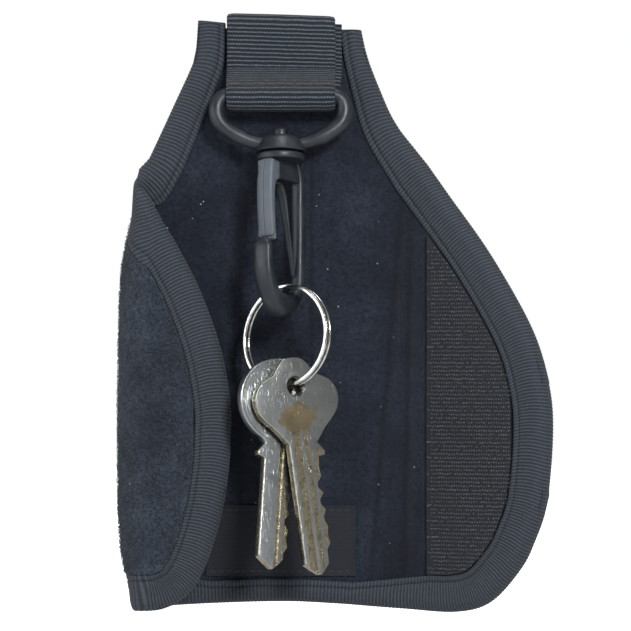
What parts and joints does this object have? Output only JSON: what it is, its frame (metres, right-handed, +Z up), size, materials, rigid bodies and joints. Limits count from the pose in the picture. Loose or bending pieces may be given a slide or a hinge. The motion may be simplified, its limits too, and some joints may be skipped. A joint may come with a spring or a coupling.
{
  "type": "key holder",
  "caption": "Padded cloth key holder worn on a belt, with fold-over flaps that close by hook and loop, a webbing belt loop, and a swivel snap hook with a split ring of keys.",
  "frame": {"origin": "back cover's rear face at the middle of the belt tunnel", "axes": "+Z up as worn on the belt, -Y to the front away from the wearer, +X to the viewer's right seen from the front"},
  "size_m": [0.1062, 0.0383, 0.1438],
  "materials": {
    "cover_cloth": "tight plain weave, matt",
    "brushed_lining": "brushed knit, matt",
    "foam": "soft padding",
    "folded_cloth": "brushed knit, matt",
    "ribbed_tape": "ribbed polyester tape, slightly shiny",
    "webbing": "woven nylon webbing",
    "label_weave": "plain woven label, bare",
    "loop_pile": "fuzzy loop pile",
    "hook_tape_nylon": "nylon hook tape",
    "satin_plastic": "satin moulded",
    "gate_plastic": "matt moulded",
    "ring_steel": "bright nickel plate",
    "front_key_nickel": "worn nickel plate over brass",
    "back_key_nickel": "tarnished nickel plate"
  },
  "bodies": {
    "panel": {"back_cover": "cover_cloth", "foam_core": "foam", "lining": "brushed_lining", "top_left_binding": "ribbed_tape", "top_right_binding": "ribbed_tape", "bottom_binding": "ribbed_tape", "belt_webbing": "webbing", "label": "label_weave", "left_inner_fold": "folded_cloth", "right_inner_fold": "folded_cloth"},
    "left_gusset": {"left_gusset": "folded_cloth", "left_gusset_top_binding": "ribbed_tape", "left_gusset_bottom_binding": "ribbed_tape", "left_outer_fold": "folded_cloth"},
    "left_flap": {"left_flap_cover": "cover_cloth", "left_flap_foam": "foam", "left_flap_lining": "brushed_lining", "left_flap_binding": "ribbed_tape", "loop_pile": "loop_pile"},
    "right_gusset": {"right_gusset": "folded_cloth", "right_gusset_top_binding": "ribbed_tape", "right_gusset_bottom_binding": "ribbed_tape", "right_outer_fold": "folded_cloth"},
    "right_flap": {"right_flap_cover": "cover_cloth", "right_flap_foam": "foam", "right_flap_lining": "brushed_lining", "right_flap_binding": "ribbed_tape", "hook_tape": "hook_tape_nylon"},
    "dee": {"dee_loop": "satin_plastic"},
    "snap_hook": {"hook_body": "satin_plastic"},
    "gate": {"gate_lever": "gate_plastic", "gate_spring": "satin_plastic"},
    "ring": {"split_ring": "ring_steel"},
    "front_key": {"front_key": "front_key_nickel"},
    "back_key": {"back_key": "back_key_nickel"}
  },
  "joints": [
    {"name": "left_gusset_fold", "type": "hinge", "parent": "panel", "child": "left_gusset", "pos_m": [-0.0343, -0.0049, 0], "axis": [0, 0, 1], "range_deg": [-90, 4], "deforming": ["left_inner_fold"]},
    {"name": "left_flap_fold", "type": "hinge", "parent": "left_gusset", "child": "left_flap", "pos_m": [-0.0343, -0.0114, 0], "axis": [0, 0, 1], "range_deg": [-93, 5], "deforming": ["left_outer_fold"]},
    {"name": "right_gusset_fold", "type": "hinge", "parent": "panel", "child": "right_gusset", "pos_m": [0.0245, -0.0049, 0], "axis": [0, 0, -1], "range_deg": [-14, 48], "deforming": ["right_inner_fold"]},
    {"name": "right_flap_fold", "type": "hinge", "parent": "right_gusset", "child": "right_flap", "pos_m": [0.03081, -0.00647, 0], "axis": [0, 0, -1], "range_deg": [-16, 50], "deforming": ["right_outer_fold"]},
    {"name": "dee_hinge", "type": "hinge", "parent": "panel", "child": "dee", "pos_m": [0, -0.0098, 0.029], "axis": [-1, 0, 0], "range_deg": [0, 130]},
    {"name": "hook_swivel", "type": "hinge", "parent": "dee", "child": "snap_hook", "pos_m": [0, -0.0098, 0.029], "axis": [0, 0.1736, 0.9848], "continuous": true},
    {"name": "gate_hinge", "type": "hinge", "parent": "snap_hook", "child": "gate", "pos_m": [-0.00259, -0.01652, 0.01069], "axis": [0.7986, -0.5927, 0.1045], "range_deg": [0, 18], "stiffness_Nm_per_rad": 0.06, "springref_deg": -17.19, "deforming": ["gate_spring"]},
    {"name": "ring_swing", "type": "hinge", "parent": "snap_hook", "child": "ring", "pos_m": [0, -0.0187, -0.0215], "axis": [-0.6018, -0.7865, 0.1387], "range_deg": [-12, 30]},
    {"name": "front_key_swing", "type": "hinge", "parent": "ring", "child": "front_key", "pos_m": [0.00306, -0.02221, -0.04035], "axis": [-0.5, 0.8529, -0.1504], "range_deg": [-25, 25]},
    {"name": "back_key_swing", "type": "hinge", "parent": "ring", "child": "back_key", "pos_m": [0.00029, -0.02007, -0.04067], "axis": [-0.5, 0.8529, -0.1504], "range_deg": [-25, 25]}
  ],
  "couplings": [
    {"joint": "left_flap_fold", "follows": "left_gusset_fold", "ratio": 1},
    {"joint": "right_flap_fold", "follows": "right_gusset_fold", "ratio": 1}
  ]
}
